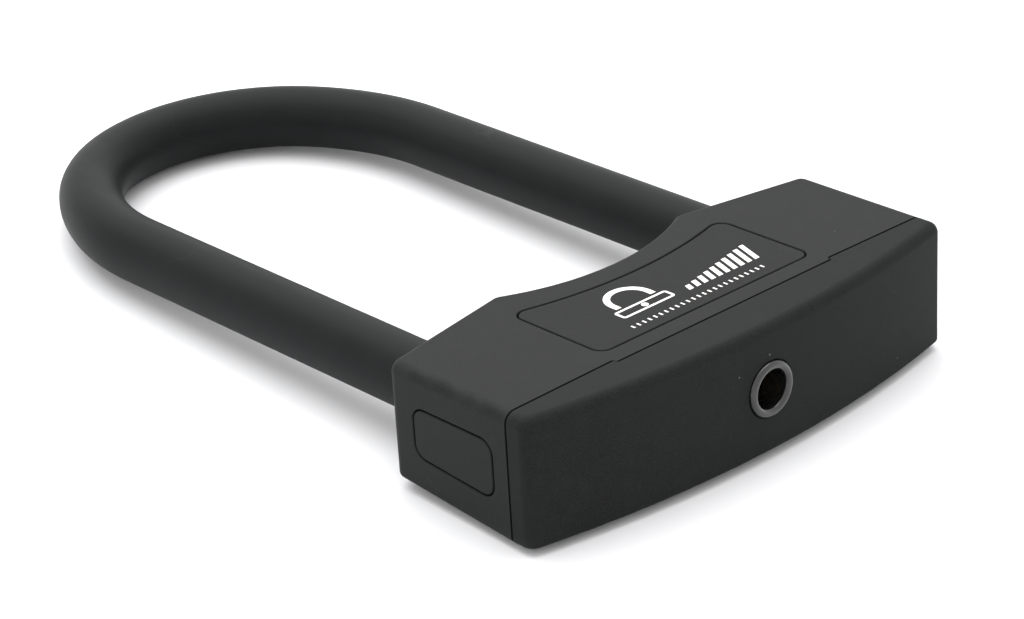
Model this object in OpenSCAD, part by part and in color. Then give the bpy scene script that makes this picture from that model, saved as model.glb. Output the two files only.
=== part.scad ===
// Compact bicycle U lock. A crossbar with a disc-detainer cylinder holds both
// legs of a coated steel shackle. Turning the cylinder spreads two sliding
// bolts into notches in the legs. Drawn unlocked, with the shackle home.
// X runs along the crossbar, +Y towards the bend of the shackle, +Z up.
// The origin is in the middle of the crossbar's underside.

/* [Crossbar] */
// Overall width of the crossbar
body_w = 120; // [118:1:126]
// Overall height of the crossbar
body_h = 28; // [28:0.5:30]
// Radius of the long outer edges
edge_r = 2.5; // [1.5:0.25:3]
// Distance from the origin to the joint between shell and key-side cover
joint_y = 12; // [12:0.1:12.4]
// Distance from the origin to the key face, at its middle
face_mid_y = 24; // [23.5:0.25:25]
// How far the key face bows out between its ends
face_bow = 6; // [5:0.5:7]
// Distance from the origin to the back of the shell at its ends
end_back_y = 21.9; // [21.6:0.1:23]
// Distance from the origin to the back of the shell at its waist
waist_y = 20.8; // [20.6:0.1:22]
// Radius of the hollow of the waist
waist_r = 54; // [50:1:60]
// Slope of the shell's back from the shoulders to the ends, degrees
shoulder_slope = 9.5; // [8:0.5:10]

/* [Shackle] */
// Diameter of the steel rod
rod_d = 11; // [10:0.25:11.5]
// Thickness of the rubbery sleeve on the rod
sleeve_t = 2; // [1:0.25:2]
// Distance from the middle of the lock to each leg
leg_x = 42.9; // [42.5:0.1:43.5]
// Distance from the origin to the end of the straight legs
straight_y = 128.5; // [90:0.5:180]
// Centreline radius where the legs start to bend
side_bend_r = 58.5; // [50:0.5:62]
// Angle that the legs turn at that radius, degrees
side_bend_a = 35; // [20:1:50]

/* [Locking] */
// How far each bolt slides out to lock
bolt_travel = 3.6; // [2.6:0.1:3.6]
// Turn of the key from unlocked to locked, degrees
key_turn = 90; // [80:1:90]
// Number of coded discs in the cylinder
disc_count = 7; // [5:1:7]
// Diameter of the opening in the keyhole ring
keyhole_d = 8.2; // [8:0.1:9]

/* [Label] */
// Width of the label plate
label_w = 60; // [50:1:62]
// Thickness of the label plate
label_t = 1; // [0.8:0.1:1.2]
// Groove around the label plate and the end plugs
inlay_gap = 0.35; // [0.2:0.05:0.5]

/* [Hidden] */
$fn = 96;

eps = 0.01;
big = 200;
mid_z = body_h / 2;
half_w = body_w / 2;
black_plastic = [0.13, 0.135, 0.135];
dark_sleeve = [0.11, 0.115, 0.115];
steel = [0.62, 0.63, 0.65];
brass = [0.78, 0.64, 0.34];

// joint line between the shell and the cover
joint_gap = 0.5;
tongue_x = 30.6;
tongue_step = 1;
joint_slant = 0.5;

// shell and the steel case inside it
wall = 2.6;
end_wall = 2.8;
case_gap = 0.2;
case_back_y = 17.9;
case_front_y = -11.6;
case_w = body_w - 2 * end_wall - 2 * case_gap;
case_h = body_h - 2 * wall - 2 * case_gap;
cavity_back_y = case_back_y + 0.1;
plate_t = 2.6;
plate_front_y = case_front_y - plate_t;
cover_wall = 3;
cover_boss_d = 18;

// shackle
sleeve_d = rod_d + 2 * sleeve_t;
rod_tip_y = -2;
rod_clearance = 0.08;
sleeve_end_y = 19.3;
leg_hole_d = sleeve_d + 0.7;
side_centre_x = side_bend_r - leg_x;
top_bend_r = side_bend_r - side_centre_x / cos(side_bend_a);
joint_step = 0.1;
top_centre_y = straight_y + side_centre_x * tan(side_bend_a);

// end plugs
end_plug_y = 3.8;
end_plug_w = 22.4;
end_plug_h = 12.2;
end_plug_t = 1.2;

// label plate
label_front_y = -7.4;
label_mid_y = 14.2;
label_arc_r = 98;
label_corner_r = 2.6;

// lock cylinder, along Y through the middle of the key face
ring_d = 12.2;
ring_proud = 0.8;
ring_back_y = -17;
barrel_d = 17.5;
barrel_back_y = 1;
plug_d = 13;
plug_front_y = -13.9;
plug_back_y = 2.6;
plug_clearance = 0.05;
tail_w = 4.6;
tail_end_y = 5;
disc_d = 10.2;
disc_t = 1.2;
disc_pitch = 1.7;
disc_front_y = -12.6;
disc_room_back_y = -0.5;
sidebar_w = 2;
sidebar_low = 4.5;
sidebar_top = 6.35;
circlip_y = 1.25;
circlip_t = 0.7;
groove_d = 11.2;
pin_y = -7;
pin_d = 2.5;

// scroll cam and bolts
cam_d = 16.8;
cam_front_y = 2.8;
cam_back_y = 7.6;
slot_depth = 2.2;
slot_start_r = 2.8;
bolt_pin_d = 2.4;
slot_w = bolt_pin_d + 0.3;
bolt_t = 8;
bolt_h = 9;
bolt_front_y = 7.9;
bolt_mid_y = bolt_front_y + bolt_t / 2;
bolt_inner_x = 1;
bolt_outer_x = leg_x - rod_d / 2 - 0.4;
channel_gap = 0.2;
notch_gap = 0.4;
notch_depth = bolt_travel - 0.4 + notch_gap;
channel_plug_x = leg_x + rod_d / 2 + 0.9;

// screws
screw_d = 3;
screw_head_d = 5.4;
plate_screw_x = [20, 52];
shell_screw_y = [-3, bolt_mid_y];

// points on an arc
function arc(centre, r, a0, a1, n = 12) =
    [for (i = [0 : n]) centre + r * [cos(a0 + (a1 - a0) * i / n), sin(a0 + (a1 - a0) * i / n)]];

// a list in the opposite order
function backwards(list) = [for (i = [len(list) - 1 : -1 : 0]) list[i]];

// an outline made symmetric about the Y axis from its right half
function both_sides(half) = concat(half, [for (p = backwards(half)) [-p.x, p.y]]);

// height of the straight back edge at a distance x from the middle
function back_line(x) = end_back_y + (half_w - x) * tan(shoulder_slope);

// right half of the shell's back, from the end to the middle of the waist
function shell_back(corner_r = 2.6, shoulder_r = 3.2) =
    let (
        s = shoulder_slope,
        corner = [half_w - corner_r, back_line(half_w - corner_r) - corner_r / cos(s)],
        waist = [0, waist_y + waist_r],
        start = [half_w, end_back_y] - shoulder_r * [sin(s), cos(s)],
        way = [-cos(s), sin(s)],
        d = start - waist,
        b = d * way,
        reach = waist_r + shoulder_r,
        root = b * b - d * d + reach * reach,
        shoulder = start + (-b - sqrt(root)) * way,
        far = start + (-b + sqrt(root)) * way,
        peak = shoulder.x > 0 && shoulder.x < half_w ? shoulder : far,
        turn = atan2(waist.y - peak.y, -peak.x)
    )
    concat(
        arc(corner, corner_r, 0, 90 - s, 8),
        arc(peak, shoulder_r, 90 - s, turn, 8),
        arc(waist, waist_r, turn - 180, -90, 16)
    );

// right half of the joint between shell and cover, shifted along Y
function joint_line(shift) = [
    [0, shift - joint_y - tongue_step / 2],
    [tongue_x, shift - joint_y - tongue_step / 2],
    [tongue_x + tongue_step / 2, shift - joint_y + tongue_step / 2],
    [half_w, shift - joint_y + tongue_step / 2 - joint_slant]
];

face_r = (half_w * half_w + face_bow * face_bow) / (2 * face_bow);
face_centre = [0, face_r - face_mid_y];

// right half of the key face, from the middle to the end
function key_face(inset = 0, corner_r = 2.8) =
    let (
        r = face_r - inset - corner_r,
        x = half_w - inset - corner_r,
        corner = [x, face_centre.y - sqrt(r * r - x * x)],
        turn = atan2(corner.y - face_centre.y, corner.x)
    )
    concat(
        arc(face_centre, face_r - inset, -90, turn, 16),
        arc(corner, corner_r, turn, 0, 8)
    );

module rounded_rect(w, h, r) {
    square([w - 2 * r, h], center = true);
    square([w, h - 2 * r], center = true);
    for (sx = [-1, 1], sy = [-1, 1])
        translate([sx * (w / 2 - r), sy * (h / 2 - r)]) circle(r);
}

// stand a drawing in X and Z up, and give it thickness from y0 to y1
module along_y(y0, y1) {
    translate([0, y1, mid_z]) rotate([90, 0, 0]) linear_extrude(y1 - y0) children();
}

// a cylinder along Y, through the middle of the lock's height
module rod_y(d, y0, y1, x = 0) {
    translate([x, y1, mid_z]) rotate([90, 0, 0]) cylinder(d = d, h = y1 - y0);
}

// a cylinder along X towards the right end
module rod_x(d, x0, x1, y) {
    translate([x0, y, mid_z]) rotate([0, 90, 0]) cylinder(d = d, h = x1 - x0);
}

// a block from its two corners in X and Y, centred in height
module block(x0, x1, y0, y1, h) {
    translate([x0, y0, mid_z - h / 2]) cube([x1 - x0, y1 - y0, h]);
}

module right_and_left() {
    children();
    mirror([1, 0, 0]) children();
}

module crossbar_section() {
    along_y(-big, big) rounded_rect(body_w, body_h, edge_r);
}

module label_outline(grow = 0) {
    w = label_w / 2 + grow;
    r = label_corner_r + grow;
    low = label_front_y - grow;
    centre = [0, label_mid_y + label_arc_r];
    arc_r = label_arc_r - grow;
    corner = [w - r, centre.y - sqrt((arc_r + r) * (arc_r + r) - (w - r) * (w - r))];
    turn = atan2(centre.y - corner.y, -corner.x);
    polygon(both_sides(concat(
        [[0, low]],
        arc([w - r, low + r], r, -90, 0, 8),
        arc(corner, r, 0, turn, 8),
        arc(centre, arc_r, turn - 180, -90, 12)
    )));
}

module end_plug_outline(grow = 0) {
    translate([end_plug_y, 0]) rounded_rect(end_plug_w + 2 * grow, end_plug_h + 2 * grow, 3 + grow);
}

// stand an end plug's drawing in Y and Z up at the right end
module at_right_end(x0, x1) {
    translate([x0, 0, mid_z]) rotate([90, 0, 90]) linear_extrude(x1 - x0) children();
}

module main_shell() {
    color(black_plastic)
    difference() {
        intersection() {
            linear_extrude(body_h)
                polygon(both_sides(concat(joint_line(joint_gap / 2), shell_back())));
            crossbar_section();
        }
        block(-half_w + end_wall, half_w - end_wall, -big, cavity_back_y, body_h - 2 * wall);
        translate([0, 0, body_h - label_t]) linear_extrude(big) label_outline(inlay_gap);
        right_and_left() {
            rod_y(leg_hole_d, 0, big, leg_x);
            at_right_end(half_w - end_plug_t, big) end_plug_outline(inlay_gap);
            for (y = shell_screw_y) {
                rod_x(screw_d + 0.4, half_w - 5, big, y);
                screw_head_sink(y);
            }
        }
    }
}

// countersink for a shell screw in the right end wall
module screw_head_sink(y) {
    translate([half_w - end_wall, y, mid_z]) rotate([0, 90, 0])
        cylinder(d1 = screw_d + 0.4, d2 = screw_head_d + 0.4, h = end_wall - end_plug_t + eps);
}

module key_side_cover() {
    color(black_plastic)
    difference() {
        intersection() {
            linear_extrude(body_h)
                polygon(both_sides(concat(key_face(), backwards(joint_line(-joint_gap / 2)))));
            crossbar_section();
        }
        difference() {
            translate([0, 0, cover_wall]) linear_extrude(body_h - 2 * cover_wall)
                polygon(both_sides(concat(key_face(cover_wall, 1), [[half_w - cover_wall, 0]])));
            rod_y(cover_boss_d, -big, ring_back_y);
        }
        rod_y(ring_d + 0.1, -big, 0);
    }
}

module label_plate() {
    color(black_plastic)
    translate([0, 0, body_h - label_t]) linear_extrude(label_t) label_outline();
}

module end_plug() {
    color(black_plastic) at_right_end(half_w - end_plug_t + 0.05, half_w) end_plug_outline();
}

module end_plug_left() {
    mirror([1, 0, 0]) end_plug();
}

module end_plug_right() {
    end_plug();
}

// a collar around the keyhole, with a round lip that stands proud of the face
module keyhole_ring() {
    t = (ring_d - keyhole_d) / 2;
    lip_y = face_mid_y + ring_proud - t / 2;
    color([0.06, 0.06, 0.06])
    translate([0, 0, mid_z]) rotate([90, 0, 0]) rotate_extrude() {
        translate([keyhole_d / 2, -ring_back_y]) square([t, lip_y + ring_back_y]);
        intersection() {
            translate([keyhole_d / 2 + t / 2, lip_y]) circle(d = t);
            translate([keyhole_d / 2, lip_y - eps]) square([t, t]);
        }
    }
}

module steel_case() {
    color(steel)
    difference() {
        block(-case_w / 2, case_w / 2, case_front_y, case_back_y, case_h);
        rod_y(barrel_d + 0.1, -big, bolt_front_y - channel_gap);
        block(-big, big, bolt_front_y - channel_gap, bolt_front_y + bolt_t + channel_gap,
            bolt_h + 2 * channel_gap);
        translate([0, pin_y, -big]) cylinder(d = pin_d, h = 2 * big);
        right_and_left() {
            rod_y(rod_d + 2 * rod_clearance, rod_tip_y - 1, big, leg_x);
            for (x = plate_screw_x) rod_y(screw_d + 0.1, case_front_y - 1, case_front_y + 7, x);
            rod_x(screw_d + 0.1, half_w - 10, half_w, shell_screw_y[0]);
        }
    }
}

module channel_plug() {
    color(steel)
    difference() {
        block(channel_plug_x, case_w / 2 - 0.1, bolt_front_y - channel_gap / 2,
            bolt_front_y + bolt_t + channel_gap / 2, bolt_h + channel_gap);
        rod_x(screw_d + 0.1, half_w - 10, half_w, shell_screw_y[1]);
    }
}

module channel_plug_left() {
    mirror([1, 0, 0]) channel_plug();
}

module channel_plug_right() {
    channel_plug();
}

module front_plate() {
    color(steel)
    difference() {
        along_y(plate_front_y, case_front_y) rounded_rect(106, 20, 2);
        rod_y(barrel_d + 0.2, -big, 0);
        right_and_left() for (x = plate_screw_x) rod_y(screw_d + 0.3, -big, 0, x);
    }
}

// a pan-head screw along Y, its head in front of y
module screw_y(x, y) {
    rod_y(screw_d, y, y + 8, x);
    rod_y(screw_head_d, y - 1.6, y, x);
}

module plate_screws() {
    color(steel)
    right_and_left() for (x = plate_screw_x) screw_y(x, plate_front_y);
}

// countersunk screws in the end walls, hidden by the end plugs
module shell_screws() {
    head_t = end_wall - end_plug_t - 0.1;
    color(steel)
    right_and_left() for (y = shell_screw_y) {
        rod_x(screw_d, half_w - 9.5, half_w - end_wall + 0.1, y);
        translate([half_w - end_wall + 0.1, y, mid_z]) rotate([0, 90, 0])
            cylinder(d1 = screw_d, d2 = screw_head_d, h = head_t - 0.05);
    }
}

module cylinder_barrel() {
    color(brass)
    difference() {
        rod_y(barrel_d, ring_back_y + 0.1, barrel_back_y);
        rod_y(10, -big, 0);
        rod_y(plug_d + 2 * plug_clearance, ring_back_y + 1.1, big);
        // groove that the sidebar drops into when the plug is at its locked end
        block(-plug_d / 2 - 0.9, 0, disc_front_y + 0.2, disc_room_back_y - 0.4, sidebar_w + 0.3);
        for (s = [0, 180]) barrel_pin_at(s, pin_d);
    }
}

// one barrel pin, above the cylinder or, turned by 180 degrees, below it
module barrel_pin_at(side, d) {
    translate([0, pin_y, mid_z]) rotate([0, side, 0])
        translate([0, 0, barrel_d / 2 - 1.75]) cylinder(d = d, h = 3.7);
}

module barrel_pins() {
    color(steel)
    for (s = [0, 180]) barrel_pin_at(s, pin_d - 0.04);
}

module anti_drill_disc() {
    color(steel)
    difference() {
        rod_y(plug_d - 0.1, ring_back_y + 1.15, plug_front_y - 0.15);
        rod_y(keyhole_d + 0.8, -big, big);
    }
}

module leg_seal() {
    color([0.05, 0.05, 0.05])
    difference() {
        rod_y(leg_hole_d - 0.2, cavity_back_y - 0.05, cavity_back_y + 1, leg_x);
        rod_y(rod_d + 2 * rod_clearance, 0, big, leg_x);
    }
}

module leg_seal_left() {
    mirror([1, 0, 0]) leg_seal();
}

module leg_seal_right() {
    leg_seal();
}

// a solid round bar bent like the shackle, with its straight ends at y0
module shackle_bar(d, y0) {
    translate([0, 0, mid_z]) {
        right_and_left() {
            translate([leg_x, straight_y, 0]) rotate([90, 0, 0]) cylinder(d = d, h = straight_y - y0);
            translate([-side_centre_x, straight_y, 0])
                rotate_extrude(angle = side_bend_a) translate([side_bend_r, 0]) circle(d = d);
        }
        translate([0, top_centre_y, 0]) union() {
            rotate([0, 0, side_bend_a]) rotate_extrude(angle = 180 - 2 * side_bend_a)
                translate([top_bend_r, 0]) circle(d = d);
            for (a = [side_bend_a, 180 - side_bend_a]) rotate([0, 0, a]) bend_joint(d);
        }
    }
}

// a short stretch that makes one solid of two bends where they meet
module bend_joint(d) {
    translate([top_bend_r, 0, 0]) rotate([90, 0, 0]) cylinder(d = d + 2 * joint_step, h = 1.5, center = true);
}

module shackle_rod() {
    tip = 1.2;
    notch_x = leg_x - rod_d / 2 + notch_depth;
    color(steel)
    difference() {
        union() {
            shackle_bar(rod_d, rod_tip_y + tip);
            right_and_left() translate([leg_x, rod_tip_y + tip, mid_z]) rotate([90, 0, 0])
                cylinder(d1 = rod_d, d2 = rod_d - 2 * tip, h = tip);
        }
        right_and_left() block(0, notch_x, bolt_front_y - notch_gap, bolt_front_y + bolt_t + notch_gap, big);
    }
}

module shackle_sleeve() {
    color(dark_sleeve)
    difference() {
        shackle_bar(sleeve_d, sleeve_end_y);
        shackle_bar(rod_d + 0.06, 0);
    }
}

// the groove down the top of the plug and its discs that holds the sidebar
module sidebar_slot(low, y0, y1) {
    translate([-sidebar_w / 2 - 0.1, y0, mid_z + low]) cube([sidebar_w + 0.2, y1 - y0, plug_d]);
}

// the key's way through the cylinder, a round bar with two flats
module keyway() {
    intersection() {
        circle(d = 6.6);
        square([3.4, 8], center = true);
    }
}

module plug_core() {
    color(brass)
    difference() {
        union() {
            rod_y(plug_d, plug_front_y, plug_back_y);
            along_y(plug_back_y - eps, tail_end_y) square(tail_w, center = true);
        }
        rod_y(disc_d + 0.1, disc_front_y - 0.1, disc_room_back_y);
        along_y(plug_front_y - 1, 0) keyway();
        sidebar_slot(sidebar_low - 0.2, disc_front_y + 0.3, disc_room_back_y - 0.5);
        difference() {
            rod_y(plug_d + 1, circlip_y - 0.05, circlip_y + circlip_t + 0.05);
            rod_y(groove_d, -big, big);
        }
    }
}

// each disc is coded by the angle of its key opening
module lock_discs() {
    code_step = 25;
    color(brass)
    for (i = [0 : disc_count - 1]) {
        y = disc_front_y + i * disc_pitch;
        difference() {
            rod_y(disc_d, y, y + disc_t);
            along_y(y - 1, y + disc_t + 1) rotate((i * 3) % 4 * code_step) keyway();
            sidebar_slot(sidebar_low - 0.2, y - 1, y + disc_t + 1);
        }
    }
}

module disc_spacers() {
    color(steel)
    for (i = [0 : disc_count - 2]) {
        y = disc_front_y + i * disc_pitch + disc_t + 0.05;
        difference() {
            rod_y(disc_d, y, y + disc_pitch - disc_t - 0.1);
            rod_y(6.8, -big, big);
            sidebar_slot(sidebar_low - 0.2, y - 1, y + 2);
        }
    }
}

module sidebar() {
    color(steel)
    translate([-sidebar_w / 2, disc_front_y + 0.4, mid_z + sidebar_low])
        cube([sidebar_w, disc_room_back_y - disc_front_y - 1, sidebar_top - sidebar_low]);
}

// centre of the scroll slot after the cam has turned by a degrees
function scroll(a) = (slot_start_r + bolt_travel * a / key_turn) * [cos(a), -sin(a)];

// unit vector across the slot at that place
function scroll_side(a) =
    let (d = scroll(a + 0.5) - scroll(a - 0.5))
    [-d.y, d.x] / norm(d);

module scroll_slot() {
    steps = 24;
    angles = [for (i = [0 : steps]) key_turn * i / steps];
    polygon(concat(
        [for (a = angles) scroll(a) + slot_w / 2 * scroll_side(a)],
        [for (i = [steps : -1 : 0]) scroll(angles[i]) - slot_w / 2 * scroll_side(angles[i])]
    ));
    for (a = [0, key_turn]) translate(scroll(a)) circle(d = slot_w);
}

module scroll_cam() {
    color(steel)
    difference() {
        rod_y(cam_d, cam_front_y, cam_back_y);
        along_y(0, tail_end_y + 0.1) square(tail_w + 0.1, center = true);
        for (turn = [0, 180]) along_y(cam_back_y - slot_depth, big) rotate(turn) scroll_slot();
    }
}

module plug_circlip() {
    color(steel)
    difference() {
        rod_y(16, circlip_y, circlip_y + circlip_t);
        rod_y(groove_d + 0.05, -big, big);
        along_y(-big, big) translate([0, -6]) square([7, 12], center = true);
    }
}

module bolt() {
    color(steel)
    difference() {
        block(bolt_inner_x, bolt_outer_x, bolt_front_y, bolt_front_y + bolt_t, bolt_h);
        rod_y(bolt_pin_d + 0.04, 0, bolt_front_y + 3, slot_start_r);
    }
}

module bolt_pin() {
    color(steel) rod_y(bolt_pin_d, cam_back_y - slot_depth + 0.2, bolt_front_y + 2.9, slot_start_r);
}

module bolt_left() {
    mirror([1, 0, 0]) bolt();
}

module bolt_pin_left() {
    mirror([1, 0, 0]) bolt_pin();
}

module bolt_right() {
    bolt();
}

module bolt_pin_right() {
    bolt_pin();
}

main_shell();
key_side_cover();
label_plate();
end_plug_left();
end_plug_right();
keyhole_ring();
steel_case();
channel_plug_left();
channel_plug_right();
front_plate();
plate_screws();
shell_screws();
cylinder_barrel();
anti_drill_disc();
barrel_pins();
leg_seal_left();
leg_seal_right();
shackle_rod();
shackle_sleeve();
plug_core();
lock_discs();
disc_spacers();
sidebar();
scroll_cam();
plug_circlip();
bolt_left();
bolt_pin_left();
bolt_right();
bolt_pin_right();
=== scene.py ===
"""Looks of a compact bicycle U lock, built around its packed CAD frame.

Run as a script, it makes every moulded, coated and printed piece of the lock in place on the
frame, gives each part that stays its finish, and stands the lock in a plain white studio.
Lengths are in metres: X runs along the crossbar, +Y towards the shackle's bend, and +Z up.
"""

import math

import bmesh
import bpy
from bpy.props import FloatProperty, FloatVectorProperty, IntProperty, PointerProperty
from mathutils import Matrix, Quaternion, Vector
from mathutils.interpolate import poly_3d_calc


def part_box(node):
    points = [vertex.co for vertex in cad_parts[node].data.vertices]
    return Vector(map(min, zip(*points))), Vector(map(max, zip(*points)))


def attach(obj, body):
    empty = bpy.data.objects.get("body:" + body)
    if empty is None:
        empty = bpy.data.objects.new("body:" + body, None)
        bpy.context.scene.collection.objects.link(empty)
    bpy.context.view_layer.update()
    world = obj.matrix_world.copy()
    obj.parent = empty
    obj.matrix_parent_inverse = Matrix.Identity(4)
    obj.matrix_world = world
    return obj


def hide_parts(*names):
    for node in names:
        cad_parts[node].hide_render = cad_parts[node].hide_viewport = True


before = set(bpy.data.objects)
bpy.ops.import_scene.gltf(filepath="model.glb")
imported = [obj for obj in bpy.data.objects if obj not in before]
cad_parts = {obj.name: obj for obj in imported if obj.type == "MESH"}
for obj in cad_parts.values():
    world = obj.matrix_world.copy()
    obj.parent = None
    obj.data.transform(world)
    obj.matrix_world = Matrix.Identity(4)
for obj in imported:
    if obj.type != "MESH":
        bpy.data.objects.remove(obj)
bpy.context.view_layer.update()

bl_info = {
    "name": "Bicycle U Lock",
    "version": (1, 0, 0),
    "blender": (4, 5, 0),
    "location": "View3D > Sidebar > U Lock",
    "description": "Makes the visible pieces and finishes of a bicycle U lock",
    "category": "Object",
}

MM = 0.001
SAME_POINT = 0.0001 * MM
RIM_STEP = 15

# sizes that the frame gives
SHELL_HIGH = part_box("main_shell")[1]
COVER_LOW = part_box("key_side_cover")[0]
LABEL_LOW, LABEL_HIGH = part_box("label_plate")
PLUG_LOW, PLUG_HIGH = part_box("end_plug_right")
RING_LOW, RING_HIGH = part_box("keyhole_ring")
SEAL_LOW, SEAL_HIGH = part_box("leg_seal_right")
ROD_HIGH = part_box("shackle_rod")[1]
SLEEVE_LOW, SLEEVE_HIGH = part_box("shackle_sleeve")
CASE_LOW, CASE_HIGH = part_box("steel_case")
PLATE_SCREWS_LOW, PLATE_SCREWS_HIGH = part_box("plate_screws")
SHELL_SCREWS_LOW, SHELL_SCREWS_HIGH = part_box("shell_screws")

HALF_W = SHELL_HIGH.x
HEIGHT = SHELL_HIGH.z
MID_Z = HEIGHT / 2
FACE_Y = COVER_LOW.y
CASE_ROOM = 0.2 * MM
WALL = CASE_LOW.z - CASE_ROOM
END_WALL = HALF_W - CASE_HIGH.x - CASE_ROOM
LEG_X = (SEAL_LOW.x + SEAL_HIGH.x) / 2
LEG_HOLE_R = (SEAL_HIGH.x - SEAL_LOW.x) / 2 + 0.1 * MM
SLEEVE_R = SLEEVE_HIGH.x - LEG_X
ROD_R = ROD_HIGH.x - LEG_X
RING_R = RING_HIGH.x


def size(name, description, default):
    """A length property, in metres."""
    return FloatProperty(
        name=name, description=description, default=default, min=0, unit="LENGTH", precision=5
    )


def count(name, description, default, least):
    """A whole number property."""
    return IntProperty(name=name, description=description, default=default, min=least)


def watts(name, description, default):
    """A light's power property, in watts."""
    return FloatProperty(name=name, description=description, default=default, unit="POWER")


def tint(name, description, default):
    """A colour property, in linear light."""
    return FloatVectorProperty(
        name=name, description=description, default=default, subtype="COLOR", size=3, min=0, max=1
    )


class CrossbarSizes(bpy.types.PropertyGroup):
    """Sizes of the moulded crossbar."""

    end_edge: size("End edges", "Radius of the long edges at the ends", 2.5 * MM)
    back_edge: size("Back edges", "Radius of the edges along the back", 1.1 * MM)
    face_edge: size("Key face edges", "Radius of the edges along the key face", 2.4 * MM)
    under_edge: FloatProperty(
        name="Edges underneath",
        description="Radius of the edges underneath, as a share of those on top",
        default=0.4, min=0.1, max=1,
    )
    under_rise: FloatProperty(
        name="Rise underneath",
        description="How far the shell's underside rises for each length back",
        default=0.075, min=0, max=0.08,
    )
    face_bow: size("Key face bow", "How far the key face bows out", 6.8 * MM)
    face_corner: size("Key face corners", "Radius of the corners of the key face", 2.6 * MM)
    end_back: size(
        "Back at the ends", "Distance from the origin to the back, at the ends", 21.9 * MM
    )
    back_corner: size("Back corners", "Radius of the back corners", 2.6 * MM)
    waist_back: size("Back at the waist", "Distance from the origin to the waist", 20.8 * MM)
    waist: size("Waist", "Radius of the hollow of the waist", 54 * MM)
    shoulder: size("Shoulders", "Radius of the shoulders beside the waist", 3.2 * MM)
    shoulder_slope: FloatProperty(
        name="Shoulder slope", description="Slope of the back beside the waist",
        default=math.radians(9.5), subtype="ANGLE",
    )
    joint: size("Joint", "Distance from the origin to the joint with the cover", 12 * MM)
    joint_gap: size("Joint gap", "Width of the joint with the cover", 0.5 * MM)
    joint_rim: size("Joint rims", "Radius of the rims along the joint", 0.42 * MM)
    lip_in: size("Joint lip inset", "How far the joint's lip stands inside the surface", 1.2 * MM)
    lip_t: size("Joint lip", "Thickness of the lip behind the joint", 1.2 * MM)
    lip_w: size("Joint lip width", "Width of the lip behind the joint", 3.2 * MM)
    joint_slant: size("Joint slant", "How far the joint runs back towards the ends", 0.5 * MM)
    tongue: size("Tongue", "Half the width of the joint's tongue", 30.6 * MM)
    tongue_step: size("Tongue step", "How far the tongue stands forward", 1 * MM)
    hole_rim: size("Leg hole rims", "Radius of the rims of the leg holes", 0.5 * MM)


class InlaySizes(bpy.types.PropertyGroup):
    """Sizes of the label plate, end plugs and keyhole ring."""

    gap: size("Groove", "Width of the groove around an inlay", 0.35 * MM)
    rim: size("Inlay rims", "Radius of the rims of an inlay and of its recess", 0.28 * MM)
    label_middle: size("Label height", "Back edge of the label plate, at its middle", 14.2 * MM)
    label_arc: size("Label arc", "Radius of the label plate's back edge", 98 * MM)
    label_corner: size("Label corners", "Radius of the label plate's corners", 2.6 * MM)
    plug_corner: size("Plug corners", "Radius of the end plugs' corners", 3 * MM)
    keyhole: size("Keyhole", "Radius of the keyhole", 4.1 * MM)
    print_t: size("Print thickness", "Thickness of the printed marks", 0.02 * MM)
    bars: count("Level bars", "Number of security level bars", 10, 1)
    ticks: count("Ticks", "Number of ticks on the printed rule", 25, 1)


class ShackleSizes(bpy.types.PropertyGroup):
    """Sizes of the coated shackle."""

    straight: size("Straight legs", "Distance from the origin to the end of the legs", 128.5 * MM)
    side_bend: size("Side bends", "Radius where the legs start to bend", 58.5 * MM)
    side_angle: FloatProperty(
        name="Side bend angle", description="Angle that the legs turn at that radius",
        default=math.radians(35), subtype="ANGLE",
    )
    lip: size("End lips", "Chamfer on the ends of the sleeve", 0.4 * MM)
    ripple: size("Ripple", "How far the sleeve's surface wanders", 0.05 * MM)
    along: count("Steps along", "Rings of points along the sleeve", 260, 8)
    around: count("Steps around", "Points in each ring", 56, 8)


class ScrewSizes(bpy.types.PropertyGroup):
    """Sizes of the screws."""

    shank: size("Shank", "Radius of the shank", 1.5 * MM)
    inner_place: size("Inner screws", "Distance from the middle to the inner plate screws", 20 * MM)
    pan_head: size("Pan head", "Height of the pan heads", 1.6 * MM)
    socket: size("Socket", "Radius of the hexagon socket, over its corners", 1.45 * MM)


class LockFinishes(bpy.types.PropertyGroup):
    """Colours of the lock's materials, in linear light."""

    shell: tint("Shell", "Moulded plastic of the shell", (0.0095, 0.0100, 0.0099))
    cover: tint("Cover", "Moulded plastic of the key side cover", (0.0092, 0.0098, 0.0097))
    label: tint("Label plate", "Moulded plastic of the label plate", (0.0100, 0.0105, 0.0104))
    plug: tint("End plugs", "Moulded plastic of the end plugs", (0.0085, 0.0090, 0.0089))
    ring: tint("Keyhole ring", "Glossy plastic of the keyhole ring", (0.0055, 0.0058, 0.0058))
    sleeve: tint("Sleeve", "Soft coat of the shackle", (0.0051, 0.0059, 0.0060))
    seal: tint("Seals", "Rubber of the leg seals", (0.008, 0.008, 0.008))
    ink: tint("Ink", "Printed marks on the label plate", (0.72, 0.72, 0.69))
    dust: tint("Dust", "Specks of dust", (0.22, 0.22, 0.21))
    rod: tint("Rod", "Ground steel of the shackle rod", (0.50, 0.51, 0.52))
    case: tint("Case", "Zinc plated steel of the case", (0.42, 0.43, 0.44))
    fastener: tint("Fasteners", "Blackened steel of the screws", (0.16, 0.16, 0.165))
    hardened: tint("Hardened parts", "Hardened steel of bolts, cam and pins", (0.36, 0.36, 0.37))
    brass: tint("Brass", "Turned brass of the cylinder", (0.62, 0.44, 0.17))


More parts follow.
